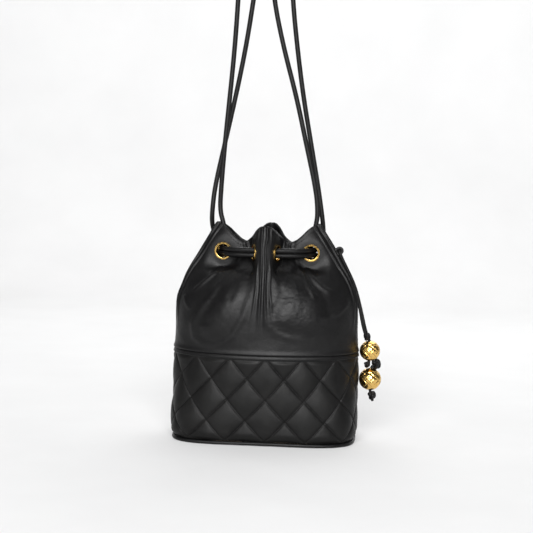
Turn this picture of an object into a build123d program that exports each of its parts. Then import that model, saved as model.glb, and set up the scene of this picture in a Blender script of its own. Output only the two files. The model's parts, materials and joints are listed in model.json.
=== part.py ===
from build123d import *
from math import cos, hypot, pi, radians, sin, tan
import os

# Drawstring bucket bag: quilted leather band, gathered upper body, two cord straps and a bead
# charm. Millimetres, +Z up, front at -Y. The origin is the middle of the base, on the floor.

# ---------------------------------------------------------------- base and quilted band
BASE_A = 100.0            # half width of the oval base
BASE_B = 58.0             # half depth of the oval base
PANEL_THICK = 2.0         # leather base panel
BOARD_THICK = 2.4         # stiffening board inside the base
PIPING_DIA = 4.0          # piping round the base edge
PIPING_INSET = 0.6        # from the band's face to the piping's centre line
BAND_BOTTOM = 4.3         # the band's lower edge, on the piping
BAND_TOP = 91.5           # the band's upper edge, under the binding
BINDING_TOP = 96.5        # top of the binding and foot of the upper body
BINDING_PROUD = 0.6       # how far the binding stands out
LEATHER = 1.4             # band leather
WADDING = 3.0             # quilting wadding behind it
LINING = 1.0              # woven lining
LINING_STEP_BOTTOM = 93.0  # the lining turns outward over the wadding here

# ---------------------------------------------------------------- gathered upper body
UPPER_LEATHER = 1.6       # leather with its edge folded in
FACING = 1.0              # leather facing inside the mouth
LAYER_GAP = 0.3           # slack between the leather and the layers inside it
FACING_BOTTOM = 178.0     # where lining gives way to the facing
VALLEY_REACH = 24.0       # distance from the axis to the bottom of each drawn-in valley
SIDE_SHARPNESS = 13.0     # how narrow the left and right folds are
FRONT_SHARPNESS = 11.4    # how narrow the front and back folds are
PLAN_POINTS = 32          # points of each plan outline

# height, side reach, front reach, share of folding (0 is a plain oval, 1 is fully drawn in)
PLAN_HEIGHTS = (
    (96.5, 99.8, 58.0, 0.0),
    (122.0, 98.8, 58.4, 0.03),
    (150.0, 96.9, 58.0, 0.12),
    (178.0, 87.2, 53.4, 0.40),
    (204.0, 73.0, 48.0, 1.0),
    (240.0, 51.5, 42.0, 1.0),
)
EYELET_ROW = 4            # index of the plan at the eyelets in that list

# rim height along x: corners high, a dip at each valley, a hump at the front and back folds
RIM_HALF = ((0.0, 231.0), (12.0, 224.5), (22.0, 217.0), (36.0, 222.5), (48.0, 229.0), (62.0, 234.0))

# ---------------------------------------------------------------- eyelets
EYELET_Z = 202.7
EYELET_OUTER_R = 9.2
EYELET_HOLE_R = 7.2
EYELET_BARREL_R = 7.9
EYELET_GRIP = 3.2         # leather and facing between flange and washer
FLANGE_THICK = 1.2
WASHER_THICK = 0.9
SEAT_CLEARANCE = 0.1
SEAT_DEPTH = 14.0         # how far the seats are cleared in front of and behind the wall
SIDE_EYELET_TURN = 18.0   # plan angle from the side fold's ridge to its eyelets
FRONT_EYELET_TURN = 20.0  # plan angle from the front fold's ridge to its eyelets

# ---------------------------------------------------------------- cords
CORD_DIA = 5.2
LOW = EYELET_Z - 2.65     # the left drawstring's level through the eyelets
HIGH = EYELET_Z + 2.65    # the right drawstring's level
PAIR_LOW = EYELET_Z - 2.0   # its two ends share one back eyelet at this level
PAIR_HIGH = EYELET_Z + 2.0  # and the right drawstring's two ends share another
HINGE_Z = 242.0           # the straps swing about a line along X at this height
CORD_JOIN_Z = HINGE_Z - 3.0   # top of a drawstring's two strands
STRAP_FOOT_Z = HINGE_Z + 3.0  # foot of a strap's two strands, clear of them as it swings
ARC_SHARE = 0.45          # each arc's tangent length as a share of its shorter run

# ---------------------------------------------------------------- charm
CHARM_CORD_DIA = 3.0
BEAD_WALL = 1.6
BEAD_BORE_R = 2.2
UPPER_BEAD_R = 11.0
LOWER_BEAD_R = 12.0
UPPER_BEAD_AT = (112.3, -1.0, 98.0)
LOWER_BEAD_AT = (113.3, -1.0, 67.3)
TAB_AT = (76.9, 0.0, 205.0)
TAB_WIDTH = 5.0
TAB_OUTER_R = 4.2
TAB_INNER_R = 2.6

os.makedirs("parts", exist_ok=True)


def write(piece, name):
    """Labels a finished piece and writes it to its own STEP file."""
    piece.part.label = name
    export_step(piece.part, f"parts/{name}.step")


# ================================================================ plan outlines
def plan_radius(turn, side, front, folding):
    """Distance from the axis to the outline at a plan angle."""
    oval = side * front / hypot(front * cos(turn), side * sin(turn))
    side_fold = (side - VALLEY_REACH) * abs(cos(turn)) ** SIDE_SHARPNESS
    front_fold = (front - VALLEY_REACH) * abs(sin(turn)) ** FRONT_SHARPNESS
    return oval * (1 - folding) + (VALLEY_REACH + side_fold + front_fold) * folding


def plan_frame(turn, row):
    """A point of the outline and its outward normal, both in plan."""
    height, side, front, folding = row
    step = 0.01
    before = plan_radius(turn - step, side, front, folding)
    here = plan_radius(turn, side, front, folding)
    after = plan_radius(turn + step, side, front, folding)
    point = Vector(here * cos(turn), here * sin(turn), height)
    along = Vector(
        after * cos(turn + step) - before * cos(turn - step),
        after * sin(turn + step) - before * sin(turn - step),
        0,
    ).normalized()
    return point, Vector(along.Y, -along.X, 0)


def body_of_offset(inset):
    """The solid inside the upper body's outline, moved inward by the inset."""
    with BuildPart() as solid:
        for row in PLAN_HEIGHTS:
            outline = []
            for i in range(PLAN_POINTS):
                point, normal = plan_frame(2 * pi * i / PLAN_POINTS, row)
                moved = point - normal * inset
                outline.append((moved.X, moved.Y))
            with BuildSketch(Plane.XY.offset(row[0])):
                with BuildLine():
                    Spline(*outline, periodic=True)
                make_face()
        loft()
    return solid.part


OUTSIDE = body_of_offset(0.0)
UNDER_LEATHER = body_of_offset(UPPER_LEATHER)
OVER_LINING = body_of_offset(UPPER_LEATHER + LAYER_GAP)
UNDER_LINING = body_of_offset(UPPER_LEATHER + LAYER_GAP + FACING)

# ================================================================ eyelet places
EYELET_TURNS = (
    180 + SIDE_EYELET_TURN,
    270 - FRONT_EYELET_TURN,
    270 + FRONT_EYELET_TURN,
    360 - SIDE_EYELET_TURN,
    SIDE_EYELET_TURN,
    90 - FRONT_EYELET_TURN,
    90 + FRONT_EYELET_TURN,
    180 - SIDE_EYELET_TURN,
)


def eyelet_plane(turn):
    """The middle of the wall at an eyelet, with its normal facing out of the bag."""
    point, normal = plan_frame(radians(turn), PLAN_HEIGHTS[EYELET_ROW])
    middle = point - normal * (UPPER_LEATHER + LAYER_GAP + FACING) / 2
    return Plane(origin=(middle.X, middle.Y, EYELET_Z), x_dir=(0, 0, 1), z_dir=normal)


EYELET_PLANES = [eyelet_plane(turn) for turn in EYELET_TURNS]

with BuildPart() as eyelet_room:
    for plane in EYELET_PLANES:
        with BuildSketch(plane):
            Circle(EYELET_BARREL_R + SEAT_CLEARANCE)
        extrude(amount=SEAT_DEPTH, both=True)
        for side in (1, -1):
            with BuildSketch(plane.offset(side * EYELET_GRIP / 2)):
                Circle(EYELET_OUTER_R + SEAT_CLEARANCE)
            extrude(amount=side * SEAT_DEPTH)

for number, plane in enumerate(EYELET_PLANES, start=1):
    with BuildPart() as eyelet:
        with BuildSketch(plane.offset(EYELET_GRIP / 2)):
            Circle(EYELET_OUTER_R)
            Circle(EYELET_HOLE_R, mode=Mode.SUBTRACT)
        extrude(amount=FLANGE_THICK)
        fillet(eyelet.edges().filter_by(GeomType.CIRCLE).sort_by(SortBy.DISTANCE)[-2:], 0.5)
        with BuildSketch(plane.offset(-EYELET_GRIP / 2)):
            Circle(EYELET_BARREL_R)
            Circle(EYELET_HOLE_R, mode=Mode.SUBTRACT)
        extrude(amount=EYELET_GRIP)
    write(eyelet, f"eyelet_{number}")

    with BuildPart() as washer:
        with BuildSketch(plane.offset(-EYELET_GRIP / 2 - WASHER_THICK)):
            Circle(EYELET_OUTER_R)
            Circle(EYELET_HOLE_R, mode=Mode.SUBTRACT)
        extrude(amount=WASHER_THICK)
    write(washer, f"eyelet_washer_{number}")

# ================================================================ base
with BuildPart() as base_panel:
    with BuildSketch():
        Ellipse(BASE_A - PIPING_INSET - PIPING_DIA / 2 - 0.1, BASE_B - PIPING_INSET - PIPING_DIA / 2 - 0.1)
    extrude(amount=PANEL_THICK)
write(base_panel, "base_panel")

INSIDE_WADDING = LEATHER + WADDING
with BuildPart() as base_board:
    with BuildSketch(Plane.XY.offset(PANEL_THICK)):
        Ellipse(BASE_A - INSIDE_WADDING - 0.2, BASE_B - INSIDE_WADDING - 0.2)
    extrude(amount=BOARD_THICK)
write(base_board, "base_board")

LINING_FLOOR = PANEL_THICK + BOARD_THICK
with BuildPart() as lining_base:
    with BuildSketch(Plane.XY.offset(LINING_FLOOR)):
        Ellipse(BASE_A - INSIDE_WADDING - 0.2, BASE_B - INSIDE_WADDING - 0.2)
    extrude(amount=LINING)
write(lining_base, "lining_base")

with BuildSketch(Plane.XY.offset(PIPING_DIA / 2 + 0.1)) as piping_oval:
    Ellipse(BASE_A - PIPING_INSET, BASE_B - PIPING_INSET)
with BuildPart() as base_piping:
    piping_path = piping_oval.sketch.face().outer_wire()
    with BuildSketch(Plane(piping_path @ 0, z_dir=piping_path % 0)):
        Circle(PIPING_DIA / 2)
    sweep(path=piping_path)
write(base_piping, "base_piping")


# ================================================================ oval rings of the band
def oval_ring(bottom, top, outer_inset, inner_inset):
    """A straight oval ring between two heights and two insets from the base oval."""
    with BuildPart() as ring:
        with BuildSketch(Plane.XY.offset(bottom)):
            Ellipse(BASE_A - outer_inset, BASE_B - outer_inset)
            Ellipse(BASE_A - inner_inset, BASE_B - inner_inset, mode=Mode.SUBTRACT)
        extrude(amount=top - bottom)
    return ring.part


def front_and_back(solid, name):
    """Splits a ring at the side seams and writes its front and back pieces."""
    for half, keep in (("front", Keep.BOTTOM), ("back", Keep.TOP)):
        with BuildPart() as piece:
            add(solid)
            split(bisect_by=Plane(origin=(0, 0, 0), x_dir=(1, 0, 0), z_dir=(0, 1, 0)), keep=keep)
        write(piece, f"{name}_{half}")


front_and_back(oval_ring(BAND_BOTTOM, BAND_TOP, 0.0, LEATHER), "band")
front_and_back(oval_ring(BAND_BOTTOM, BAND_TOP, LEATHER, INSIDE_WADDING), "wadding")

with BuildPart() as band_binding:
    add(oval_ring(BAND_TOP, BINDING_TOP, -BINDING_PROUD, UPPER_LEATHER))
write(band_binding, "band_binding")

# ================================================================ upper body, facing and lining
with BuildPart() as rim_room:
    with BuildSketch(Plane.XZ.offset(-2 * BASE_A)):
        with BuildLine():
            left = [(-x, z) for x, z in reversed(RIM_HALF[1:])]
            rim = Spline(*left, *RIM_HALF)
            top = 2 * PLAN_HEIGHTS[-1][0]
            Polyline(rim @ 1, (BASE_A * 2, rim.position_at(1).Z), (BASE_A * 2, top))
            Polyline((BASE_A * 2, top), (-BASE_A * 2, top), (-BASE_A * 2, rim.position_at(0).Z), rim @ 0)
        make_face()
    extrude(amount=4 * BASE_A)

with BuildPart() as upper_wall:
    add(OUTSIDE)
    add(UNDER_LEATHER, mode=Mode.SUBTRACT)
    add(rim_room.part, mode=Mode.SUBTRACT)
    add(eyelet_room.part, mode=Mode.SUBTRACT)
front_and_back(upper_wall.part, "upper")

with BuildPart() as facing_wall:
    add(OVER_LINING)
    add(UNDER_LINING, mode=Mode.SUBTRACT)
    add(rim_room.part, mode=Mode.SUBTRACT)
    add(eyelet_room.part, mode=Mode.SUBTRACT)
    split(bisect_by=Plane.XY.offset(FACING_BOTTOM), keep=Keep.TOP)
front_and_back(facing_wall.part, "mouth_facing")

with BuildPart() as lining_neck:
    add(OVER_LINING)
    add(UNDER_LINING, mode=Mode.SUBTRACT)
    split(bisect_by=Plane.XY.offset(FACING_BOTTOM), keep=Keep.BOTTOM)
front_and_back(lining_neck.part, "lining_upper")

# below the seam the lining steps out over the wadding
with BuildPart() as lining_bag:
    step_inset = UPPER_LEATHER + LAYER_GAP
    add(oval_ring(LINING_STEP_BOTTOM, BINDING_TOP, step_inset, step_inset + LINING))
    add(oval_ring(BAND_TOP, LINING_STEP_BOTTOM, step_inset, INSIDE_WADDING + LINING))
    add(oval_ring(LINING_FLOOR + LINING, BAND_TOP, INSIDE_WADDING, INSIDE_WADDING + LINING))
front_and_back(lining_bag.part, "lining_lower")


# ================================================================ cords
def cord_tube(points, diameter, name):
    """A round cord along straight runs joined by the largest tangent arcs."""
    spots = [Vector(*p) for p in points]
    radii = []
    for before, here, after in zip(spots, spots[1:], spots[2:]):
        turn = radians((here - before).get_angle(after - here))
        shorter = min((here - before).length, (after - here).length)
        radii.append(ARC_SHARE * shorter / tan(turn / 2))
    with BuildPart() as tube:
        with BuildLine() as route:
            FilletPolyline(*points, radius=radii)
        path = route.wire()
        with BuildSketch(Plane(path @ 0, z_dir=path % 0)):
            Circle(diameter / 2)
        sweep(path=path)
    length = path.length
    share = tube.part.volume / (pi * diameter**2 / 4 * length)
    print(name, f"length {length:.0f} tightest {min(radii):.1f} volume share {share:.3f}")
    write(tube, name)


def mirrored(points):
    """The same route on the other side of the bag, with the levels kept."""
    return [(-x, y, z) for x, y, z in points]


def round_the_mouth(level):
    """From inside the left fold, forward round the four folds, to the back left valley."""
    return [
        (-52.5, 4.5, level),
        (-50.8, -5.0, level),
        (-47.0, -14.0, level),
        (-43.0, -22.8, level),
        (-34.0, -29.0, level),
        (-22.5, -31.8, level),
        (-11.5, -33.2, level),
        (0.0, -31.8, level),
        (11.5, -33.2, level),
        (22.5, -31.8, level),
        (34.0, -29.0, level),
        (43.0, -22.8, level),
        (47.0, -14.0, level),
        (50.8, -5.0, level),
        (50.8, 5.0, level),
        (47.0, 14.0, level),
        (43.0, 22.8, level),
        (34.0, 29.0, level),
        (22.5, 31.8, level),
        (11.5, 33.2, level),
        (0.0, 31.8, level),
        (-11.5, 33.2, level),
        (-22.5, 31.8, level),
        (-33.0, 28.6, level),
    ]


# each drawstring starts outside its own side fold, passes every eyelet and ends inside the fold
LEFT_START = [(-62.6, 5.2, CORD_JOIN_Z), (-62.8, 8.5, 231), (-61, 16, 220), (-57, 22.5, 210.5)]
LEFT_ENTRY = [(-51.0, 22.4, 202.5), (-49.5, 14, PAIR_LOW)]
LEFT_EXIT = [(-42.4, 22.4, LOW), (-44.3, 14, PAIR_LOW)]
LEFT_END = [(-45.6, 5.5, 202), (-46.5, 1, 211), (-47.4, 0.4, 221), (-49, 1, 231), (-53, 4.2, CORD_JOIN_Z)]
cord_tube(
    LEFT_START + LEFT_ENTRY + round_the_mouth(LOW) + LEFT_EXIT + LEFT_END,
    CORD_DIA,
    "drawstring_left",
)

RIGHT_START = [(56.6, 5.8, CORD_JOIN_Z), (58.2, 9.5, 231), (58.4, 16, 221.5), (55.8, 22.2, 213)]
RIGHT_ENTRY = [(51.0, 22.4, 206.5), (49.5, 14, PAIR_HIGH)]
RIGHT_EXIT = [(42.4, 22.4, HIGH), (44.3, 14, PAIR_HIGH)]
RIGHT_END = [
    (45.6, 5.5, 206),
    (46.4, 1, 214),
    (47.2, 0.4, 222.5),
    (48.4, 1.2, 231),
    (50.6, 4.2, CORD_JOIN_Z),
]
cord_tube(
    RIGHT_START + RIGHT_ENTRY + mirrored(round_the_mouth(HIGH)) + RIGHT_EXIT + RIGHT_END,
    CORD_DIA,
    "drawstring_right",
)

# each strap runs up from the outer strand, over in a bight and down to the inner strand
STRAP_LEFT = [
    (-62.4, 5.2, STRAP_FOOT_Z), (-60.6, 7.5, 270), (-51.4, 10, 317), (-40.8, 9, 369), (-31.3, 7, 421),
    (-24.4, 6, 473), (-19, 5, 520), (-15.8, 5, 565), (-15, 5, 612),
    (-39, 5, 612), (-39.4, 5, 565), (-40, 5, 520), (-41, 5, 473), (-43, 4, 421),
    (-46.6, 3.2, 369), (-50.5, 2.6, 317), (-53.2, 3.4, 270), (-54, 4.6, STRAP_FOOT_Z),
]
cord_tube(STRAP_LEFT, CORD_DIA, "strap_left")

STRAP_RIGHT = [
    (55.8, 5.8, STRAP_FOOT_Z), (51.6, 8.4, 270), (42.4, 9, 317), (32, 7.6, 369), (23.8, 6.4, 421),
    (17, 5.6, 473), (14.6, 5, 520), (14.1, 5, 565), (14.5, 5, 612),
    (-9.5, 5, 612), (-9.2, 5, 565), (-7.6, 5, 520), (-3.2, 4.6, 473), (9.2, 4, 421),
    (24.8, 3.4, 369), (37.6, 2.6, 317), (48.6, 2.4, 270), (50.4, 4.2, STRAP_FOOT_Z),
]
cord_tube(STRAP_RIGHT, CORD_DIA, "strap_right")

# ================================================================ charm
with BuildPart() as charm_tab:
    with BuildSketch(Plane.XZ.offset(-TAB_AT[1] - TAB_WIDTH / 2)):
        with Locations((TAB_AT[0], TAB_AT[2])):
            Circle(TAB_OUTER_R)
            Circle(TAB_INNER_R, mode=Mode.SUBTRACT)
    extrude(amount=TAB_WIDTH)
    add(OUTSIDE, mode=Mode.SUBTRACT)
write(charm_tab, "charm_tab")

# one cord folded over the tab: its front run goes through the upper bead, its back run passes
# behind that bead and goes through the lower one
CHARM_CORD_FRONT = [
    (TAB_AT[0], 0, TAB_AT[2]), (TAB_AT[0], -4.6, TAB_AT[2]), (80, -4, 198.5), (86.7, -2, 186),
    (94.2, -1.8, 169), (100.6, -1.8, 152), (104.4, -1.8, 137), (106.8, -1.7, 124), (109.2, -1.2, 113.5),
    (112.3, -1, 110), (112.3, -1, 86.3), (110.2, -1, 83.2), (107.6, -1.6, 80.4),
]
CHARM_CORD_BACK = [
    (TAB_AT[0], 0, TAB_AT[2]), (TAB_AT[0], 4.6, TAB_AT[2]), (80, 4, 198.5), (86.7, 2, 186),
    (94.2, 1.8, 169), (100.6, 1.8, 152), (104.4, 1.8, 137), (107.2, 2, 124), (108.8, 4.4, 114.5),
    (111.4, 10.4, 107.5), (114.4, 12.8, 99), (118, 11, 90.5), (119.9, 5, 86), (118.8, -0.8, 82.6),
    (113.3, -1, 80.4), (113.3, -1, 54.4), (115.4, -1.2, 50.6), (116.6, -1.4, 43.5),
]
cord_tube(CHARM_CORD_FRONT, CHARM_CORD_DIA, "charm_cord_front")
cord_tube(CHARM_CORD_BACK, CHARM_CORD_DIA, "charm_cord_back")


def bead(centre, radius, name):
    """A hollow round bead with its bore upright."""
    bore_half = (radius**2 - BEAD_BORE_R**2) ** 0.5
    with BuildPart() as ball:
        with BuildSketch(Plane.XZ.offset(-centre[1])):
            with Locations((centre[0], centre[2])):
                Circle(radius)
                Circle(radius - BEAD_WALL, mode=Mode.SUBTRACT)
                with Locations((BEAD_BORE_R + BEAD_WALL / 2, 0)):
                    Rectangle(BEAD_WALL, 2 * bore_half - BEAD_WALL)
                with Locations((BEAD_BORE_R - radius, 0)):
                    Rectangle(2 * radius, 2 * radius, mode=Mode.SUBTRACT)
        revolve(axis=Axis((centre[0], centre[1], 0), (0, 0, 1)))
    write(ball, name)


bead(UPPER_BEAD_AT, UPPER_BEAD_R, "bead_upper")
bead(LOWER_BEAD_AT, LOWER_BEAD_R, "bead_lower")

# each knot is a lump of its cord, so the cord ends in it or passes through it
KNOTS = (
    # name, centre, half width, half height
    ("charm_knot_top", (108.9, 0, 113.0), 3.4, 3.8),
    ("charm_knot_inner", (109.8, -1, 83.0), 3.0, 3.4),
    ("charm_knot_outer", (119.6, -0.6, 83.4), 4.4, 5.2),
    ("charm_knot_end", (115.8, -1.2, 49.6), 4.0, 4.4),
)
for name, centre, half_width, half_height in KNOTS:
    with BuildPart() as knot:
        with BuildSketch(Plane.XZ.offset(-centre[1])):
            with Locations((centre[0], centre[2])):
                Ellipse(half_width, half_height)
                with Locations((-half_width, 0)):
                    Rectangle(2 * half_width, 2 * half_height, mode=Mode.SUBTRACT)
        revolve(axis=Axis((centre[0], centre[1], 0), (0, 0, 1)))
    write(knot, name)
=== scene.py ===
import json
import math
from itertools import product

import bmesh
import bpy
import numpy as np
from mathutils import Matrix, Vector


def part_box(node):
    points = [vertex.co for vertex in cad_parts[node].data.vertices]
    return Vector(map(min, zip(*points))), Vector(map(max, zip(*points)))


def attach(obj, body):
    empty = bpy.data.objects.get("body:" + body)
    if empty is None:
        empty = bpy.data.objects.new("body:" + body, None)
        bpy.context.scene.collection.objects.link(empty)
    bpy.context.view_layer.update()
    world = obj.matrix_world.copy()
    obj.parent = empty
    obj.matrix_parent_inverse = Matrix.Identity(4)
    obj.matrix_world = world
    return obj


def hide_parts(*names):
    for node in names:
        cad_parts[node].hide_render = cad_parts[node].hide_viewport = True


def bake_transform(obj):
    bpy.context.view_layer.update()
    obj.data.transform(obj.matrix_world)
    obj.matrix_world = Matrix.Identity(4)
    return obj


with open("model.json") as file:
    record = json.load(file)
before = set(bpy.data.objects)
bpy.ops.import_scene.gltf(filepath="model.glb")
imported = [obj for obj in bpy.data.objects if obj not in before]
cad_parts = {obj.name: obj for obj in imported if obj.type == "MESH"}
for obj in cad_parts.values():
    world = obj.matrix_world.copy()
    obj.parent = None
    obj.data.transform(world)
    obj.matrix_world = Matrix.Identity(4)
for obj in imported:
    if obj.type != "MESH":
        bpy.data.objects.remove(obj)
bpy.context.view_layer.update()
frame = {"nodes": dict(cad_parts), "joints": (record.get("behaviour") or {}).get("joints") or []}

MM = 0.001

# ---------------- sizes read from the frame, in mm
def corner(node, side, axis):
    """One coordinate of a CAD node's box, in millimetres. side is 0 for low and 1 for high."""
    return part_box(node)[side][axis] / MM


BASE_A = corner("band_front", 1, 0)
BASE_B = corner("band_back", 1, 1)
BAND_BOTTOM = corner("band_front", 0, 2)
BAND_TOP = corner("band_front", 1, 2)
SEAM_Z = corner("upper_front", 0, 2)
LINING_FLOOR = corner("lining_base", 1, 2)
EYELET_Z = (corner("eyelet_1", 0, 2) + corner("eyelet_1", 1, 2)) / 2

# ---------------- shape of the gathered body, in mm
VALLEY_REACH = 24.0       # from the axis to the bottom of the valleys between the folds
SIDE_SHARPNESS = 13.0     # powers that make the four folds narrow
FRONT_SHARPNESS = 11.4
LEATHER = 1.6             # thicknesses of the wall's layers, from the outside
LAYER_GAP = 0.3
FACING = 1.0
WALL = LEATHER + LAYER_GAP + FACING
EYELET_BARREL_R = 7.9
EYELET_GRIP = 3.2         # between flange and washer
EYELET_REACH = 8.0        # how far along its axis an eyelet's hole goes through leather
FLAT_RADIUS = 9.8         # the leather lies flat out to here, and is free at the second radius
FREE_RADIUS = 25.0
FLAT_DROP = 0.72          # below the eyelet the flat reaches further by this share
# height, side reach, front reach, share of folding
PLAN_ROWS = np.array((
    (96.5, 99.8, 58.0, 0.0),
    (122.0, 99.0, 58.9, 0.0),
    (138.0, 98.0, 59.2, 0.02),
    (152.0, 96.6, 58.4, 0.07),
    (165.0, 92.3, 56.4, 0.18),
    (178.0, 87.2, 53.6, 0.38),
    (190.0, 80.8, 50.8, 0.70),
    (204.0, 73.0, 48.0, 1.0),
    (221.0, 62.9, 45.2, 1.0),
    (240.0, 51.5, 42.0, 0.96),
))
# distance from the middle in front view, height of the rim
RIM = np.array((
    (0, 231.5), (5, 231), (10, 227.5), (14, 222.5), (18, 216.2), (21.5, 212.6), (25, 213.8),
    (32, 219), (41, 226), (50, 231), (57, 233.5), (63, 234),
))
SIDE_PLEATS = ((0.0, 1.0), (6.2, 1.9), (12.2, 1.7))          # arc from the side fold, height of the ridge
FRONT_PLEATS = ((-7.2, 0.9), (-2.3, 1.9), (2.3, 1.9), (7.2, 0.9))
PLEAT_FOOT_Z = 168.0      # below here the sewn pleats fan out and fade


def lookup(values, points, column):
    """Smooth interpolation of one column of a table by its first column (Catmull-Rom)."""
    keys, data = points[:, 0], points[:, column]
    slopes = np.gradient(data, keys)
    at = np.clip(np.searchsorted(keys, values) - 1, 0, len(keys) - 2)
    gap = keys[at + 1] - keys[at]
    t = np.clip((values - keys[at]) / gap, 0, 1)
    a = (1 + 2 * t) * (1 - t) ** 2
    b = t * (1 - t) ** 2 * gap
    c = t * t * (3 - 2 * t)
    d = t * t * (t - 1) * gap
    return a * data[at] + b * slopes[at] + c * data[at + 1] + d * slopes[at + 1]


def smooth(low, high, value):
    """0 below low, 1 above high, smooth between; low may be the larger."""
    t = np.clip((value - low) / (high - low), 0, 1)
    return t * t * (3 - 2 * t)


def along_line(points):
    """How far along a line of points each of them lies."""
    return np.concatenate(([0], np.cumsum(np.linalg.norm(np.diff(points, axis=0), axis=1))))


def at_length(where, along, points):
    """The points at given lengths along a line."""
    return np.stack([np.interp(where, along, points[:, i]) for i in range(3)], axis=-1)


def plan_radius(turn, height):
    """Distance from the axis to the body's outline at a plan angle and a height."""
    side, front, folding = (lookup(height, PLAN_ROWS, i) for i in (1, 2, 3))
    oval = side * front / np.hypot(front * np.cos(turn), side * np.sin(turn))
    side_fold = (side - VALLEY_REACH) * np.abs(np.cos(turn)) ** SIDE_SHARPNESS
    front_fold = (front - VALLEY_REACH) * np.abs(np.sin(turn)) ** FRONT_SHARPNESS
    return oval * (1 - folding) + (VALLEY_REACH + side_fold + front_fold) * folding


QUARTER = 190             # steps from a side fold to the front or back fold
BODY_ROWS = 176           # rows of points from the seam to the rim
TABLE_Z = np.arange(SEAM_Z, 236.0, 1.5)
RIM_ROW = -5              # the row of that table whose plan the rim follows


def quarter_table():
    """For heights in TABLE_Z: the plan angles at equal steps along a quarter, and its length."""
    fine = np.linspace(0, math.pi / 2, 721)
    angles, lengths = [], []
    for height in TABLE_Z:
        radius = plan_radius(fine, np.full_like(fine, height))
        along = along_line(np.stack((radius * np.cos(fine), radius * np.sin(fine)), axis=1))
        angles.append(np.interp(np.linspace(0, along[-1], QUARTER + 1), along, fine))
        lengths.append(along[-1])
    return np.array(angles), np.array(lengths)


QUARTER_ANGLES, QUARTER_LENGTHS = quarter_table()


def grid_normals(grid):
    """Outward unit normals of a grid of points, rows going up and columns going left to right."""
    across = np.gradient(grid, axis=1)
    up = np.gradient(grid, axis=0)
    normal = np.cross(across, up)
    return normal / np.maximum(np.linalg.norm(normal, axis=2, keepdims=True), 1e-9)


# ---------------- smooth noise with a fixed seed
def noise_field(points, size, seed):
    """Value noise in -1..1 at points (mm), with lumps about size mm across."""
    rng = np.random.default_rng(seed)
    lattice = rng.uniform(-1, 1, (32, 32, 32))
    p = points / size + 200.0
    cell = np.floor(p).astype(int)
    f = p - cell
    f = f * f * (3 - 2 * f)
    total = 0
    for i, j, k in product((0, 1), repeat=3):
        weight = np.abs(1 - i - f[..., 0]) * np.abs(1 - j - f[..., 1]) * np.abs(1 - k - f[..., 2])
        index = (cell + (i, j, k)) % 32
        total = total + weight * lattice[index[..., 0], index[..., 1], index[..., 2]]
    return total


def near_line(x, z, line):
    """Distance in front view from points to a polyline, and how far along it they lie (0 to 1)."""
    line = np.array(line, float)
    steps = np.linalg.norm(np.diff(line, axis=0), axis=1)
    start = np.concatenate(([0], np.cumsum(steps))) / steps.sum()
    best = np.full(x.shape, 1e9)
    where = np.zeros(x.shape)
    for a, b, s0, s1 in zip(line, line[1:], start, start[1:]):
        along = b - a
        t = np.clip(((x - a[0]) * along[0] + (z - a[1]) * along[1]) / (along @ along), 0, 1)
        d = np.hypot(x - a[0] - t * along[0], z - a[1] - t * along[1])
        closer = d < best
        best = np.where(closer, d, best)
        where = np.where(closer, s0 + t * (s1 - s0), where)
    return best, where


def inside_loop(x, z, loop):
    """True where points lie inside a closed polyline in front view."""
    hit = np.zeros(x.shape, bool)
    points = list(loop)
    for (ax, az), (bx, bz) in zip(points, points[1:] + points[:1]):
        crosses = (az > z) != (bz > z)
        slope = (bx - ax) / (bz - az if bz != az else 1e-9)
        hit ^= crosses & (x < ax + (z - az) * slope)
    return hit


# soft pillows between the folds, in front view: outlines of (x, z) in mm
LEFT_LOBE = ((-35, 189), (-44, 174), (-52, 161), (-66, 143), (-75, 126), (-73, 113), (-65, 107),
             (-52, 105), (-40, 109), (-31, 117), (-20, 137), (-14, 158), (-12, 176), (-20, 190))
RIGHT_LOBE = ((13, 184), (16, 160), (8, 146), (6, 132), (14, 122), (30, 116), (52, 115), (66, 122),
              (72, 138), (66, 156), (52, 172), (42, 186), (26, 192))
LOBES = ((LEFT_LOBE, 3.6), (RIGHT_LOBE, 4.4))    # outline, height
LOBE_EDGE = 11.0                                # a pillow rises over about this distance
# folds pressed into the leather in front view: points (x, z), height, half width
CREASES = (
    (LEFT_LOBE[:13], 1.5, 4.2),
    (RIGHT_LOBE[:7], 0.9, 4.4),
    (((33, 191), (38, 182), (43, 174), (48, 165), (55, 153)), 1.7, 2.5),
    (((41, 188), (50, 177), (60, 168), (73, 160)), 1.4, 2.8),
    (((88.5, 156), (86, 148), (79, 141), (70, 137)), 0.7, 2.2),
    (((-88, 155), (-84, 146), (-78, 139)), 0.6, 2.4),
    (((-46, 186), (-57, 177), (-69, 166), (-80, 157)), 1.1, 2.2),
    (((-28, 190), (-27, 178), (-30, 164), (-37, 148)), -0.9, 4.0),
    (((22, 190), (22, 178), (20, 164)), 0.8, 2.4),
    (((-52, 152), (-60, 138), (-58, 124)), -0.7, 6.0),
)
GATHER_PITCH = 5.2        # of the fine gathers in the valleys
CRACKLED = (32, 146)      # x and z of the most worn patch, on the right lobe


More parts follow.
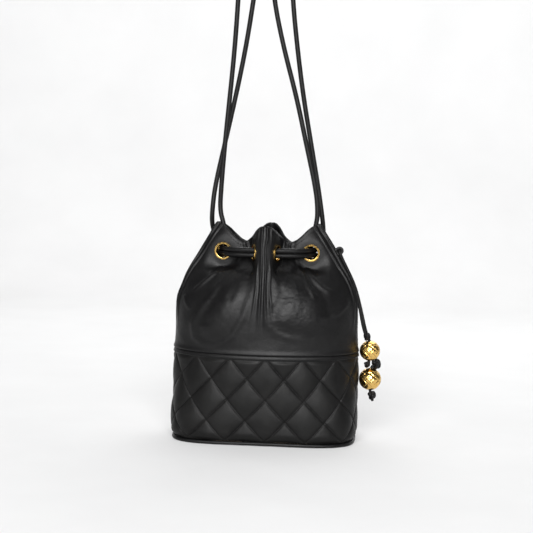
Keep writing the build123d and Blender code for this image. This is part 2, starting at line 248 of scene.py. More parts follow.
def body_relief(grid, side_arc, front_arc, mirror):
    """How far the leather stands out from the plain form: the soft lobes, and with the fine folds."""
    x, z = grid[..., 0] * mirror, grid[..., 2]
    # pillows between the folds
    lobes = np.zeros(x.shape)
    for loop, height in LOBES:
        edge = near_line(x, z, loop + loop[:1])[0]
        lobes += height * np.where(inside_loop(x, z, loop), 1 - np.exp(-((edge / LOBE_EDGE) ** 2)), 0)
    lobes += 0.9 * noise_field(grid, 34.0, 1) * smooth(98, 116, z)
    relief = lobes.copy()
    # sewn ridges beside each fold, which fan out and fade below the pleats' foot
    below = np.clip(PLEAT_FOOT_Z - z, 0, None)
    for arc, pleats, fan in ((side_arc, SIDE_PLEATS, 0.004), (front_arc, FRONT_PLEATS, 0.0062)):
        for middle, height in pleats:
            centre = middle * (1 + fan * below**1.25)
            width = 0.85 + 0.035 * below
            relief += height * smooth(112, 158, z) * np.exp(-(((arc - centre) / width) ** 2))
    for line, height, width in CREASES:
        distance, along = near_line(x, z, line)
        ends = smooth(0, 0.12, along) * smooth(1, 0.8, along)
        relief += height * ends * np.exp(-((distance / width) ** 2))
    # fine gathers in the valleys, where the cords draw the leather in
    valley = smooth(10, 22, np.abs(front_arc)) * smooth(58, 38, np.abs(front_arc))
    wander = noise_field(grid, 14.0, 5) * 2.2
    gathers = np.sin((front_arc + wander) * 2 * math.pi / GATHER_PITCH)
    relief += 0.7 * gathers * valley * smooth(186, 198, z) * smooth(218, 208, z)
    # slack leather is never quite even
    relief += 0.28 * noise_field(grid, 11.0, 2) * smooth(98, 110, z)
    crackle = smooth(46, 10, np.hypot(x - CRACKLED[0], z - CRACKLED[1])) * smooth(100, 112, z)
    relief += 0.16 * noise_field(grid * np.array((1, 1, 1.7)), 3.4, 3) * (0.25 + crackle)
    start = smooth(SEAM_Z, SEAM_Z + 6.5, z)
    overhang = np.exp(-(((z - SEAM_Z - 1.2) / 2.6) ** 2)) * smooth(SEAM_Z - 0.4, SEAM_Z + 0.7, z)
    return lobes * start, relief * start + overhang


def body_grid(back):
    """The outer face of the front or back upper leather, and the soft form under it with its normals.

    Rows go up and columns go from left to right as seen from outside.
    """
    steps = 2 * QUARTER + 1
    quarter = np.concatenate((np.arange(QUARTER + 1), np.arange(QUARTER - 1, -1, -1)))
    half = np.where(np.arange(steps) <= QUARTER, -1, 1)
    top_angle = QUARTER_ANGLES[RIM_ROW][quarter]
    top_x = plan_radius(top_angle, np.full(steps, TABLE_Z[RIM_ROW])) * np.cos(top_angle)
    rim = lookup(top_x, RIM, 1)
    share = np.linspace(0, 1, BODY_ROWS)[:, None]
    z = SEAM_Z + share * (rim[None, :] - SEAM_Z)
    row = (z - TABLE_Z[0]) / (TABLE_Z[1] - TABLE_Z[0])
    low = np.clip(np.floor(row).astype(int), 0, len(TABLE_Z) - 2)
    mix = row - low
    columns = np.broadcast_to(quarter, z.shape)
    turn = QUARTER_ANGLES[low, columns] * (1 - mix) + QUARTER_ANGLES[low + 1, columns] * mix
    length = QUARTER_LENGTHS[low] * (1 - mix) + QUARTER_LENGTHS[low + 1] * mix
    radius = plan_radius(turn, z)
    # seen from outside, the front runs from -X to +X and the back from +X to -X
    facing = -1 if back else 1
    grid = np.stack((radius * np.cos(turn) * half * facing, -radius * np.sin(turn) * facing, z), axis=2)
    side_arc = length * columns / QUARTER
    front_arc = (length - side_arc) * half
    lobes, relief = body_relief(grid, side_arc, front_arc, facing)
    normal = grid_normals(grid)
    soft = grid + normal * lobes[..., None]
    return grid + normal * relief[..., None], soft, grid_normals(soft)


# ---------------- eyelet places, read from the frame
def eyelet_place(number):
    """Centre of the wall at an eyelet in mm, its outward axis and the direction across it."""
    mesh = frame["nodes"][f"eyelet_{number}"].data
    points = np.array([v.co for v in mesh.vertices], float) / MM
    middle = points.mean(axis=0)
    spread = np.linalg.svd(points - middle, full_matrices=False)[2]
    axis = spread[2] * (1, 1, 0)
    axis /= np.linalg.norm(axis)
    across = np.cross((0, 0, 1), axis)
    level = (points - middle) @ axis
    sideways = (points - middle) @ across
    wide = np.hypot(sideways, points[:, 2] - EYELET_Z) > EYELET_BARREL_R + 0.7
    if level[wide].mean() < (level.min() + level.max()) / 2:
        axis, across, level, sideways = -axis, -across, -level, -sideways
    centre = middle + across * (sideways.min() + sideways.max()) / 2
    centre += axis * (level.min() + EYELET_GRIP / 2)
    centre[2] = EYELET_Z
    return centre, axis, across


EYELETS = [eyelet_place(number) for number in range(1, 9)]


def flatten(points, depth):
    """Presses a layer flat under each eyelet, at its depth below the wall's outer face."""
    points = points.copy()
    for centre, axis, across in EYELETS:
        away = points - centre
        drop = np.where(away[..., 2] < 0, away[..., 2] * FLAT_DROP, away[..., 2])
        reach = np.hypot(away @ across, drop)
        level = away @ axis
        share = smooth(FREE_RADIUS, FLAT_RADIUS, reach) * smooth(16, 9, np.abs(level))
        wanted = WALL / 2 - depth
        points += axis * ((wanted - level) * share)[..., None]
    return points


def eyelet_holes(points):
    """True for the quads of a grid that lie in an eyelet's hole."""
    middle = (points[:-1, :-1] + points[1:, 1:]) / 2
    hit = np.zeros(middle.shape[:2], bool)
    for centre, axis, across in EYELETS:
        away = middle - centre
        close = np.hypot(away @ across, away[..., 2]) < EYELET_BARREL_R + 0.5
        hit |= close & (np.abs(away @ axis) < EYELET_REACH)
    return hit


# ---------------- meshes
def mesh_object(name, vertices, faces, material):
    """A smooth-shaded mesh object from vertices in millimetres."""
    mesh = bpy.data.meshes.new(name)
    mesh.from_pydata((np.asarray(vertices) * MM).tolist(), [], faces)
    mesh.polygons.foreach_set("use_smooth", [True] * len(mesh.polygons))
    mesh.validate()
    piece = bpy.data.objects.new(name, mesh)
    bpy.context.scene.collection.objects.link(piece)
    mesh.materials.append(material)
    return piece


def ring_faces(rings, sides, base=0, closed=False):
    """Quads between rings of points. closed also joins the last ring to the first."""
    faces = []
    for i in range(rings if closed else rings - 1):
        here, there = base + i * sides, base + (i + 1) % rings * sides
        for j in range(sides):
            k = (j + 1) % sides
            faces.append((here + j, here + k, there + k, there + j))
    return faces


def caps(rings, sides, base=0):
    """The two end faces of a tube of rings."""
    last = base + (rings - 1) * sides
    return [tuple(range(base + sides - 1, base - 1, -1)), tuple(range(last, last + sides))]


def shell(name, outer, inner, material, keep=None, wrap=False):
    """A closed sheet between two grids of points; keep is a mask of its quads."""
    rows, columns = outer.shape[:2]
    vertices = np.concatenate((outer.reshape(-1, 3), inner.reshape(-1, 3)))
    if keep is None:
        keep = np.ones((rows - 1, columns if wrap else columns - 1), bool)
    base = rows * columns
    r, c = np.nonzero(keep)
    d = (c + 1) % columns
    quads = np.stack((r * columns + c, r * columns + d, (r + 1) * columns + d, (r + 1) * columns + c), axis=1)
    edges = np.concatenate([quads[:, (i, (i + 1) % 4)] for i in range(4)])
    twins = set(map(tuple, edges[:, ::-1].tolist()))
    faces = quads.tolist() + (quads[:, ::-1] + base).tolist()
    for a, b in edges.tolist():
        if (a, b) not in twins:
            faces.append((b, a, a + base, b + base))
    piece = mesh_object(name, vertices, faces, material)
    drop_loose(piece)
    return piece


def drop_loose(piece):
    """Removes vertices that no face uses."""
    tidy = bmesh.new()
    tidy.from_mesh(piece.data)
    bmesh.ops.delete(tidy, geom=[v for v in tidy.verts if not v.link_faces], context="VERTS")
    tidy.to_mesh(piece.data)
    tidy.free()


def rounded(outer, inner, top=True, bottom=True):
    """Draws the two faces of a sheet together over its last rows, to round its edges."""
    outer, inner = outer.copy(), inner.copy()
    for row, share in enumerate((0.42, 0.2, 0.06)):
        for edge, wanted in ((-1 - row, top), (row, bottom)):
            if wanted:
                step = (inner[edge] - outer[edge]) * share
                outer[edge] += step
                inner[edge] -= step
    return outer, inner


def tube(name, path, radius, material, groove=0.0, sides=20):
    """A round cord round a path of points in mm, with an optional shallow seam along it."""
    tangent = np.gradient(path, axis=0)
    tangent /= np.linalg.norm(tangent, axis=1, keepdims=True)
    side = np.cross(tangent[0], (0.3, 0.5, 0.8))
    side /= np.linalg.norm(side)
    vertices, count = [], len(path)
    angles = np.arange(sides) * 2 * math.pi / sides
    from_seam = (angles - 1.0 + math.pi) % (2 * math.pi) - math.pi
    ring_radius = radius * (1 - groove * np.exp(-((from_seam / 0.3) ** 2)))
    for i in range(count):
        side = side - tangent[i] * (side @ tangent[i])
        side /= np.linalg.norm(side)
        other = np.cross(tangent[i], side)
        ring = np.outer(np.cos(angles) * ring_radius, side) + np.outer(np.sin(angles) * ring_radius, other)
        vertices.append(path[i] + ring)
    faces = ring_faces(count, sides) + caps(count, sides)
    return mesh_object(name, np.concatenate(vertices), faces, material)


PATH_STEP = 1.2           # between the rings of a cord


def spline_path(points):
    """The line of a NURBS spline with these control points in metres, as an array in mm."""
    curve = bpy.data.curves.new("route", "CURVE")
    curve.dimensions = "3D"
    spline = curve.splines.new("NURBS")
    spline.points.add(len(points) - 1)
    for spot, point in zip(spline.points, points):
        spot.co = (*point, 1)
    spline.order_u = 3
    spline.use_endpoint_u = True
    spline.resolution_u = 12
    holder = bpy.data.objects.new("route", curve)
    bpy.context.scene.collection.objects.link(holder)
    line = bpy.data.meshes.new_from_object(holder)
    path = np.array([v.co for v in line.vertices], float) / MM
    bpy.data.objects.remove(holder)
    bpy.data.meshes.remove(line)
    bpy.data.curves.remove(curve)
    gaps = np.linalg.norm(np.diff(path, axis=0), axis=1)
    path = path[np.concatenate(([True], gaps > 0.05))]
    along = along_line(path)
    return at_length(np.linspace(0, along[-1], int(along[-1] / PATH_STEP) + 2), along, path)


def stitches(name, points, normals, material, pitch=3.0, length=2.1, radius=0.32):
    """A row of raised thread stitches along a line on a surface."""
    along = along_line(points)
    vertices, faces = [], []
    sides, rings = 6, ((-0.5, 0.35), (-0.3, 1.0), (0.3, 1.0), (0.5, 0.35))
    for start in np.arange(pitch / 2, along[-1] - pitch / 2, pitch):
        centre = at_length(start, along, points)
        normal = at_length(start, along, normals)
        forward = at_length(start + 0.5, along, points) - centre
        forward /= np.linalg.norm(forward)
        side = np.cross(normal, forward)
        base = len(vertices)
        for place, width in rings:
            for j in range(sides):
                turn = 2 * math.pi * j / sides
                lift = math.sin(turn) * radius * width
                sway = math.cos(turn) * radius * width
                vertices.append(centre + forward * place * length + side * sway + normal * lift)
        faces += ring_faces(len(rings), sides, base) + caps(len(rings), sides, base)
    return mesh_object(name, vertices, faces, material)


def joined(name, pieces):
    """Several mesh objects made into one."""
    bpy.ops.object.select_all(action="DESELECT")
    for piece in pieces:
        piece.select_set(True)
    bpy.context.view_layer.objects.active = pieces[0]
    bpy.ops.object.join()
    pieces[0].name = name
    return pieces[0]


def place(piece, body, slot, *nodes):
    """Rides a piece on its body and hides the CAD nodes that it stands for; slot is not used."""
    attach(piece, body)
    if nodes:
        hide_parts(*nodes)
    return piece


# ---------------- materials
def new_material(name):
    """A material with its node tree and its shader."""
    material = bpy.data.materials.new(name)
    material.use_nodes = True
    tree = material.node_tree
    return material, tree, tree.nodes["Principled BSDF"]


def add_texture(tree, kind, scale, **settings):
    """A procedural texture on object coordinates; scale is in lumps per metre."""
    coordinates = tree.nodes.new("ShaderNodeTexCoord")
    texture = tree.nodes.new("ShaderNodeTex" + kind)
    texture.inputs["Scale"].default_value = scale
    for setting, value in settings.items():
        texture.inputs[setting].default_value = value
    tree.links.new(coordinates.outputs["Object"], texture.inputs["Vector"])
    return texture


def add_noise(tree, scale, detail, rough=0.55):
    """The height of a noise texture."""
    return add_texture(tree, "Noise", scale, Detail=detail, Roughness=rough).outputs["Fac"]


def add_cells(tree, scale):
    """The distance to the cell edges of a Voronoi texture, for skin grain."""
    texture = add_texture(tree, "Voronoi", scale, Randomness=1.0)
    texture.feature = "DISTANCE_TO_EDGE"
    return texture.outputs["Distance"]


def ramp(tree, source, low, high, stops):
    """Maps a texture's output through a colour ramp between two positions."""
    node = tree.nodes.new("ShaderNodeValToRGB")
    for element, position, colour in zip(node.color_ramp.elements, (low, high), stops):
        element.position = position
        element.color = (*colour, 1)
    tree.links.new(source, node.inputs["Fac"])
    return node.outputs["Color"]


def bump(tree, source, depth, strength, below=None):
    """A bump of the given depth in metres, on top of another bump if one is given."""
    node = tree.nodes.new("ShaderNodeBump")
    node.inputs["Distance"].default_value = depth
    node.inputs["Strength"].default_value = strength
    tree.links.new(source, node.inputs["Height"])
    if below is not None:
        tree.links.new(below, node.inputs["Normal"])
    return node.outputs["Normal"]


def grey(value):
    """A colour of three equal parts."""
    return (value, value, value)


def leather(name, dark, light, rough_low, rough_high, grain=1500.0, grain_depth=0.00006,
            wrinkle=0.00025, specular=0.17):
    """Black lambskin: fine cell grain, soft wrinkles, uneven colour and shine."""
    material, tree, shader = new_material(name)
    colour = ramp(tree, add_noise(tree, 55.0, 5.0), 0.35, 0.7, (dark, light))
    tree.links.new(colour, shader.inputs["Base Color"])
    roughness = ramp(tree, add_noise(tree, 120.0, 6.0, 0.65), 0.3, 0.72, (grey(rough_low), grey(rough_high)))
    tree.links.new(roughness, shader.inputs["Roughness"])
    folds = bump(tree, add_noise(tree, 210.0, 4.0, 0.6), wrinkle, 0.55)
    cracks = ramp(tree, add_cells(tree, 360.0), 0.0, 0.12, (grey(0.0), grey(1.0)))
    folds = bump(tree, cracks, 0.00009, 0.35, folds)
    cells = ramp(tree, add_cells(tree, grain), 0.0, 0.22, (grey(0.0), grey(1.0)))
    grained = bump(tree, cells, grain_depth, 0.5, folds)
    tree.links.new(grained, shader.inputs["Normal"])
    shader.inputs["Specular IOR Level"].default_value = specular
    return material


BODY_LEATHER = leather("body_leather", (0.002, 0.0019, 0.002), (0.0042, 0.004, 0.0042), 0.38, 0.52,
                       specular=0.25)
BAND_LEATHER = leather("band_leather", (0.005, 0.0049, 0.0048), (0.009, 0.0088, 0.0086), 0.38, 0.52,
                       wrinkle=0.00014, specular=0.14)
CORD_LEATHER = leather("cord_leather", (0.004, 0.0039, 0.004), (0.0075, 0.0073, 0.0075), 0.34, 0.48,
                       grain=1900.0, grain_depth=0.00007, wrinkle=0.0001)


def fibrous(name, noise, stops, depth, strength, roughness, specular=0.5):
    """A dull material of one noise texture: thread or fibre board."""
    material, tree, shader = new_material(name)
    fibres = add_noise(tree, *noise)
    tree.links.new(ramp(tree, fibres, 0.3, 0.7, stops), shader.inputs["Base Color"])
    tree.links.new(bump(tree, fibres, depth, strength), shader.inputs["Normal"])
    shader.inputs["Roughness"].default_value = roughness
    shader.inputs["Specular IOR Level"].default_value = specular
    return material


def gold_material():
    """Polished gold plate with faint haze and fine scratches."""
    material, tree, shader = new_material("gold_plate")
    colour = ramp(tree, add_noise(tree, 160.0, 4.0), 0.3, 0.75, ((0.72, 0.44, 0.12), (0.86, 0.58, 0.2)))
    tree.links.new(colour, shader.inputs["Base Color"])
    haze = add_noise(tree, 420.0, 5.0)
    tree.links.new(ramp(tree, haze, 0.35, 0.75, (grey(0.07), grey(0.2))), shader.inputs["Roughness"])
    tree.links.new(bump(tree, haze, 0.00003, 0.4), shader.inputs["Normal"])
    shader.inputs["Metallic"].default_value = 1.0
    return material


def woven_material(name, dark, light, scale, rough):
    """A plain woven cloth: crossed threads from two wave textures."""
    material, tree, shader = new_material(name)
    weave = tree.nodes.new("ShaderNodeMath")
    weave.operation = "MULTIPLY"
    for direction, socket in zip("XZ", weave.inputs):
        wave = add_texture(tree, "Wave", scale, Distortion=0.4)
        wave.bands_direction = direction
        tree.links.new(wave.outputs["Fac"], socket)
    tree.links.new(ramp(tree, weave.outputs[0], 0.1, 0.8, (dark, light)), shader.inputs["Base Color"])
    tree.links.new(bump(tree, weave.outputs[0], 0.00015, 0.5), shader.inputs["Normal"])
    shader.inputs["Roughness"].default_value = rough
    return material


THREAD = fibrous("black_thread", (2600.0, 2.0), (grey(0.003), grey(0.009)), 0.0001, 0.6, 0.7, 0.1)
GOLD = gold_material()
LINING_CLOTH = woven_material("lining_cloth", (0.012, 0.012, 0.013), (0.035, 0.035, 0.037), 420.0, 0.75)
WADDING_CLOTH = woven_material("wadding", (0.5, 0.5, 0.48), (0.75, 0.75, 0.72), 260.0, 0.95)
BOARD = fibrous("fibre_board", (900.0, 6.0, 0.7), ((0.2, 0.15, 0.1), (0.36, 0.29, 0.2)), 0.0002, 0.4, 0.9)

# ---------------- upper leather, facing and lining
FACING_SHARE = 0.63       # the row where the facing gives way to the lining, as a share of the height


def rim_stitches(name, outer):
    """A row of stitches a little below the rim."""
    row = -7
    normal = grid_normals(outer)[row]
    return stitches(name, outer[row] + normal * 0.12, normal, THREAD, pitch=3.2, length=2.2, radius=0.3)


def build_upper(end, back):
    """The gathered leather of one side, its rim stitches, and the facing and lining inside it."""
    full, soft, normal = body_grid(back)
    holes = eyelet_holes(flatten(soft, 0.0))
    layers = {depth: flatten(soft - normal * depth, depth) for depth in (LEATHER, LEATHER + LAYER_GAP, WALL)}
    face = flatten(full, 0.0)
    outer, inner = rounded(face, layers[LEATHER], bottom=False)
    upper = shell(f"upper_leather_{end}", outer, inner, BODY_LEATHER, ~holes)
    place(upper, "bag", "leather", f"upper_{end}")
    place(rim_stitches(f"rim_stitches_{end}", outer), "bag", "leather")
    border = int(FACING_SHARE * len(soft))
    outer, inner = rounded(layers[LEATHER + LAYER_GAP][border:], layers[WALL][border:])
    facing = shell(f"mouth_facing_leather_{end}", outer, inner, BODY_LEATHER, ~holes[border:])
    place(facing, "bag", "leather", f"mouth_facing_{end}")
    outer, inner = rounded(layers[LEATHER + LAYER_GAP][:border], layers[WALL][:border])
    lining = shell(f"lining_cloth_{end}", outer, inner, LINING_CLOTH)
    place(lining, "bag", "lining", f"lining_upper_{end}")


build_upper("front", False)
build_upper("back", True)

# ---------------- quilted band
DIAMONDS = 13             # round the whole bag
DIAMOND_HEIGHT = 44.6
BAND_LEATHER_THICK = 1.3
GROOVE_DEPTH = 0.8
GROOVE_WIDTH = 0.9
QUILT_CENTRE_ARC = 4.6    # a crossing of the stitching lies here, right of the front's middle
QUILT_CENTRE_Z = 93.6
QUILT_RELIEF = 1.25
SQUARED = 3.6             # roundness of the oval at the base
TUCK = 3.4                # how far the band's foot draws in over the piping
BASE_ARCH = 0.7
WADDING_INNER = 4.3       # the wadding's inner face, from the band's plain face
LINING_THICK = 1.0


def half_oval(back, steps, roundness=2.0):
    """Points of half of an oval with outward normals and arc from the middle of its face.

    A roundness of 2 is a true ellipse, and more squares the oval off towards its box.
    """
    turn = np.linspace(math.pi, 2 * math.pi, 4001)
    cosine, sine = np.cos(turn), np.sin(turn)
    scale = (np.abs(cosine) ** roundness + np.abs(sine) ** roundness) ** (-1 / roundness)
    x, y = BASE_A * cosine * scale, BASE_B * sine * scale
    oval = np.stack((x, y, np.zeros(len(x))), axis=1)
    along = along_line(oval)
    even = np.linspace(0, along[-1], steps)
    side = -1 if back else 1
    point = at_length(even, along, oval * side)
    forward = np.gradient(point, axis=0)
    forward[0] = forward[-1] = (0, -side, 0)
    forward[-1] *= -1
    normal = np.stack((forward[:, 1], -forward[:, 0], np.zeros(steps)), axis=1)
    normal /= np.linalg.norm(normal, axis=1, keepdims=True)
    arc = even - along[-1] / 2
    return point, normal, arc, 2 * along[-1]


def band_grid(back, heights, steps=330):
    """The band's plain face at each height, its normals, and the arc measured round a true oval."""
    true_point, true_normal, arc, round_all = half_oval(back, steps)
    if back:
        arc = arc + round_all / 2
    square_point, square_normal = half_oval(back, steps, SQUARED)[:2]
    share = smooth(SEAM_Z, 12.0, heights)[:, None, None]
    grid = true_point * (1 - share) + square_point * share
    normal = true_normal * (1 - share) + square_normal * share
    normal /= np.linalg.norm(normal, axis=2, keepdims=True)
    tuck = TUCK * smooth(15.0, 2.0, heights) ** 1.5
    grid = grid - normal * tuck[:, None, None]
    grid[..., 2] = heights[:, None] + base_lift(grid) * smooth(60.0, 0.0, heights)[:, None]
    return grid, normal, arc, round_all


def base_lift(grid):
    """The soft base rides up a little in the middle of its long sides."""
    return BASE_ARCH * smooth(82.0, 10.0, np.abs(grid[..., 0]))


def quilt_relief(grid, arc, round_all):
    """Pillowed diamonds between stitched grooves, with small puckers at the stitches."""
    z = grid[..., 2]
    across = (arc[None, :] - QUILT_CENTRE_ARC) * DIAMONDS / round_all
    up = (z - QUILT_CENTRE_Z) / DIAMOND_HEIGHT
    near_p = np.abs(np.sin(math.pi * (across + up)))
    near_q = np.abs(np.sin(math.pi * (across - up)))
    pillow = (near_p * near_q) ** 0.42
    relief = QUILT_RELIEF * (2.0 * pillow - 0.95)
    cell = round_all / DIAMONDS
    for near, run in ((near_p, across - up), (near_q, across + up)):
        relief -= GROOVE_DEPTH * np.exp(-((near * cell / math.pi / GROOVE_WIDTH) ** 2))
        pucker = np.exp(-((near / 0.16) ** 2)) * np.sin(2 * math.pi * run * 20.0)
        relief += 0.1 * pucker
    relief += 0.22 * noise_field(grid, 17.0, 11) + 0.1 * noise_field(grid, 6.0, 12)
    edges = smooth(BAND_BOTTOM, BAND_BOTTOM + 5, z) * smooth(BAND_TOP + 0.5, BAND_TOP - 4, z)
    return relief * edges - 0.5 * (1 - edges)


def groove_stitches(end, back):
    """Stitches that run down in every groove of one half of the band."""
    pieces = []
    heights = np.linspace(BAND_BOTTOM + 2.0, BAND_TOP - 1.0, 100)
    grid, normal, arc, round_all = band_grid(back, heights, 700)
    pitch = round_all / DIAMONDS
    surface = grid + normal * (quilt_relief(grid, arc, round_all) + 0.05)[..., None]
    low_arc, high_arc = arc[0], arc[-1]
    for slant in (1, -1):
        for number in range(-DIAMONDS, 2 * DIAMONDS):
            wanted = QUILT_CENTRE_ARC + pitch * (number - slant * (heights - QUILT_CENTRE_Z) / DIAMOND_HEIGHT)
            inside = (wanted > low_arc) & (wanted < high_arc)
            if inside.sum() < 8:
                continue
            rows = np.nonzero(inside)[0]
            columns = (wanted[rows] - low_arc) / (high_arc - low_arc) * (len(arc) - 1)
            low = np.clip(columns.astype(int), 0, len(arc) - 2)
            mix = (columns - low)[:, None]
            line = surface[rows, low] * (1 - mix) + surface[rows, low + 1] * mix
            facing = normal[rows, low]
            pieces.append(stitches(f"groove_{len(pieces)}", line, facing, THREAD, 2.9, 1.9, 0.27))
    return joined(f"quilt_stitches_{end}", pieces)


def build_band(end, back):
    """The quilted leather of one side, with its stitches, the wadding and the lining behind it."""
    heights = np.linspace(BAND_BOTTOM, BAND_TOP + 0.4, 120)
    grid, normal, arc, round_all = band_grid(back, heights)
    relief = quilt_relief(grid, arc, round_all)[..., None]
    outer = grid + normal * relief
    quilt = shell(f"quilted_leather_{end}", outer, outer - normal * BAND_LEATHER_THICK, BAND_LEATHER)
    place(quilt, "bag", "quilted_leather", f"band_{end}")
    behind = outer - normal * (BAND_LEATHER_THICK + 0.1)
    stuffed = shell(f"wadding_quilt_{end}", behind, grid - normal * WADDING_INNER, WADDING_CLOTH)
    place(stuffed, "bag", "wadding", f"wadding_{end}")
    place(groove_stitches(end, back), "bag", "quilted_leather")
    heights = np.array((
        LINING_FLOOR, LINING_FLOOR + 0.6, 30.0, 60.0, BAND_TOP, BAND_TOP + 1.5, BAND_TOP + 3.0, SEAM_Z - 0.1,
    ))
    inset = np.array((WADDING_INNER + 0.1,) * 5 + (3.4, 2.2, 1.95))
    grid, normal, arc, round_all = band_grid(back, heights, 160)
    soft = 0.25 * noise_field(grid, 21.0, 14)[..., None] * smooth(SEAM_Z, SEAM_Z - 12, grid[..., 2:])
    outer = grid - normal * (inset[:, None, None] + np.abs(soft))
    lower = shell(f"lining_cloth_lower_{end}", outer, outer - normal * LINING_THICK, LINING_CLOTH)
    place(lower, "bag", "lining", f"lining_lower_{end}")


build_band("front", False)
build_band("back", True)


def build_binding():
    """The folded strip over the seam between the band and the gathered body, with its stitches."""
    profile = np.array((      # height, how far it stands out from the band's face
        (91.3, -0.3), (91.6, 0.35), (92.2, 0.55), (93.2, 0.6),
        (94.4, 0.5), (95.3, 0.2), (96.0, -0.2), (96.6, -0.9),
    ))
    halves = [band_grid(back, profile[:, 0], 330) for back in (False, True)]
    grid, normal = (np.concatenate((halves[0][i][:, :-1], halves[1][i][:, :-1]), axis=1) for i in (0, 1))
    lump = 1 + 0.1 * noise_field(grid, 9.0, 15)
    outer = grid + normal * (profile[:, 1][:, None] * lump)[..., None]
    inner = grid - normal * 1.5
    inner[..., 2] = np.clip(inner[..., 2], BAND_TOP, SEAM_Z)
    binding = shell("seam_binding", outer, inner, BODY_LEATHER, wrap=True)
    place(binding, "bag", "leather", "band_binding")
    line = np.concatenate((outer[3], outer[3][:1]))
    facing = np.concatenate((normal[3], normal[3][:1]))
    line = line + facing * 0.12
    line[:, 2] -= 0.5
    place(stitches("binding_stitches", line, facing, THREAD, 3.3, 2.3, 0.3), "bag", "leather")


build_binding()


PIPING_R = 2.0
PIPING_SIDES = 14
PANEL_INSET = 1.9         # from the piping's middle to the edge of the base panel
PANEL_THICK = 1.9


def build_base():
    """The base panel and the piping round it, which follow the band's foot."""
    halves = [band_grid(back, np.array((3.0,)), 240) for back in (False, True)]
    ring = np.concatenate([half[0][0, :-1] for half in halves])
    normal = np.concatenate([half[1][0, :-1] for half in halves])
    line = ring + normal * 0.4
    line[:, 2] = 2.1 + base_lift(line)
    across, up = normal * PIPING_R, np.array((0, 0, PIPING_R))
    turn = np.arange(PIPING_SIDES) * 2 * math.pi / PIPING_SIDES
    lump = 1 + 0.05 * noise_field(line, 6.0, 21)
    rows = [line + (across * math.cos(a) + up * math.sin(a)) * lump[:, None] for a in turn]
    grid = np.stack(rows, axis=1)
    faces = [face[::-1] for face in ring_faces(len(line), len(turn), closed=True)]
    place(mesh_object("piping_cord", grid.reshape(-1, 3), faces, BODY_LEATHER), "bag", "leather", "base_piping")
    edge = line - normal * PANEL_INSET
    rings = [edge] + [edge * share for share in (0.97, 0.85, 0.6, 0.3, 0.02)]
    under = np.stack(rings[::-1], axis=0)
    under[..., 2] = 0.5 + base_lift(under) * smooth(0.0, 1.0, np.linspace(0, 1, len(rings)))[:, None]
    over = under.copy()
    over[..., 2] += PANEL_THICK
    panel = shell("base_leather", over, under, BODY_LEATHER, wrap=True)
    place(panel, "bag", "leather", "base_panel")


build_base()

# ---------------- cords, in metres
CORD_DIAMETER = 0.0052
CHARM_CORD_DIAMETER = 0.003
TAUT = {"far_end": "object", "stiffness": "medium", "lay": "taut"}


def around_the_mouth(level, side):
    """From inside a side fold, forward round the folds and along the back; side is 1 or -1."""
    quarter = [
        (0.0508, 0.005), (0.047, 0.014), (0.043, 0.0228), (0.034, 0.029), (0.0225, 0.0318), (0.0115, 0.0332),
    ]
    points = [(-0.0525, 0.0045)] + [(-x, -y) for x, y in quarter] + [(0, -0.0318)]
    points += [(x, -y) for x, y in quarter[::-1]] + quarter + [(0, 0.0318)]
    points += [(-0.0115, 0.0332), (-0.0225, 0.0318), (-0.033, 0.0286)]
    return [(x * side, y, level) for x, y in points]


# the low part of each strap's outer strand runs from inside the fold, out through an eyelet and up
LEFT_OUTER = [
    (-0.051, 0.0092, 0.2004), (-0.0495, 0.014, 0.2007), (-0.051, 0.0224, 0.2025),
    (-0.057, 0.0225, 0.2105), (-0.061, 0.016, 0.22), (-0.0628, 0.0085, 0.231),
]
LEFT_ARC = [
    (-0.0624, 0.0052, 0.245), (-0.0606, 0.0075, 0.27), (-0.0514, 0.01, 0.317), (-0.0408, 0.009, 0.369),
    (-0.0313, 0.007, 0.421), (-0.0244, 0.006, 0.473), (-0.019, 0.005, 0.52), (-0.0158, 0.005, 0.565),
    (-0.015, 0.005, 0.612), (-0.039, 0.005, 0.612), (-0.0394, 0.005, 0.565), (-0.04, 0.005, 0.52),
    (-0.041, 0.005, 0.473), (-0.043, 0.004, 0.421), (-0.0466, 0.0032, 0.369), (-0.0505, 0.0026, 0.317),
    (-0.0532, 0.0034, 0.27), (-0.054, 0.0046, 0.245),
]
LEFT_INNER = [
    (-0.049, 0.001, 0.231), (-0.0474, 0.0004, 0.221), (-0.0465, 0.001, 0.211), (-0.04605, 0.00325, 0.2065),
]
LEFT_LACE_END = [(-0.0424, 0.0224, 0.20005), (-0.0443, 0.014, 0.2007), (-0.0456, 0.0055, 0.202)]
RIGHT_OUTER = [
    (0.05115, 0.00925, 0.205025), (0.0495, 0.014, 0.2047), (0.051, 0.0224, 0.2065),
    (0.0558, 0.0222, 0.213), (0.0584, 0.016, 0.2215), (0.0582, 0.0095, 0.231),
]
RIGHT_ARC = [
    (0.0562, 0.0068, 0.245), (0.0518, 0.009, 0.27), (0.0424, 0.009, 0.317), (0.032, 0.0076, 0.369),
    (0.0238, 0.0064, 0.421), (0.017, 0.0056, 0.473), (0.0146, 0.005, 0.52), (0.0141, 0.005, 0.565),
    (0.0145, 0.005, 0.612), (-0.0095, 0.005, 0.612), (-0.0092, 0.005, 0.565), (-0.0076, 0.005, 0.52),
    (-0.0032, 0.0046, 0.473), (0.0092, 0.004, 0.421), (0.0248, 0.0034, 0.369), (0.0376, 0.0026, 0.317),
    (0.0494, 0.002, 0.27), (0.0524, 0.0014, 0.245),
]
RIGHT_INNER = [
    (0.0508, 0.0006, 0.231), (0.0486, 0.0004, 0.2225), (0.0464, 0.001, 0.214), (0.046, 0.00325, 0.21),
]
RIGHT_LACE_END = [(0.0424, 0.0224, 0.20535), (0.0443, 0.014, 0.2047), (0.0456, 0.0055, 0.206)]
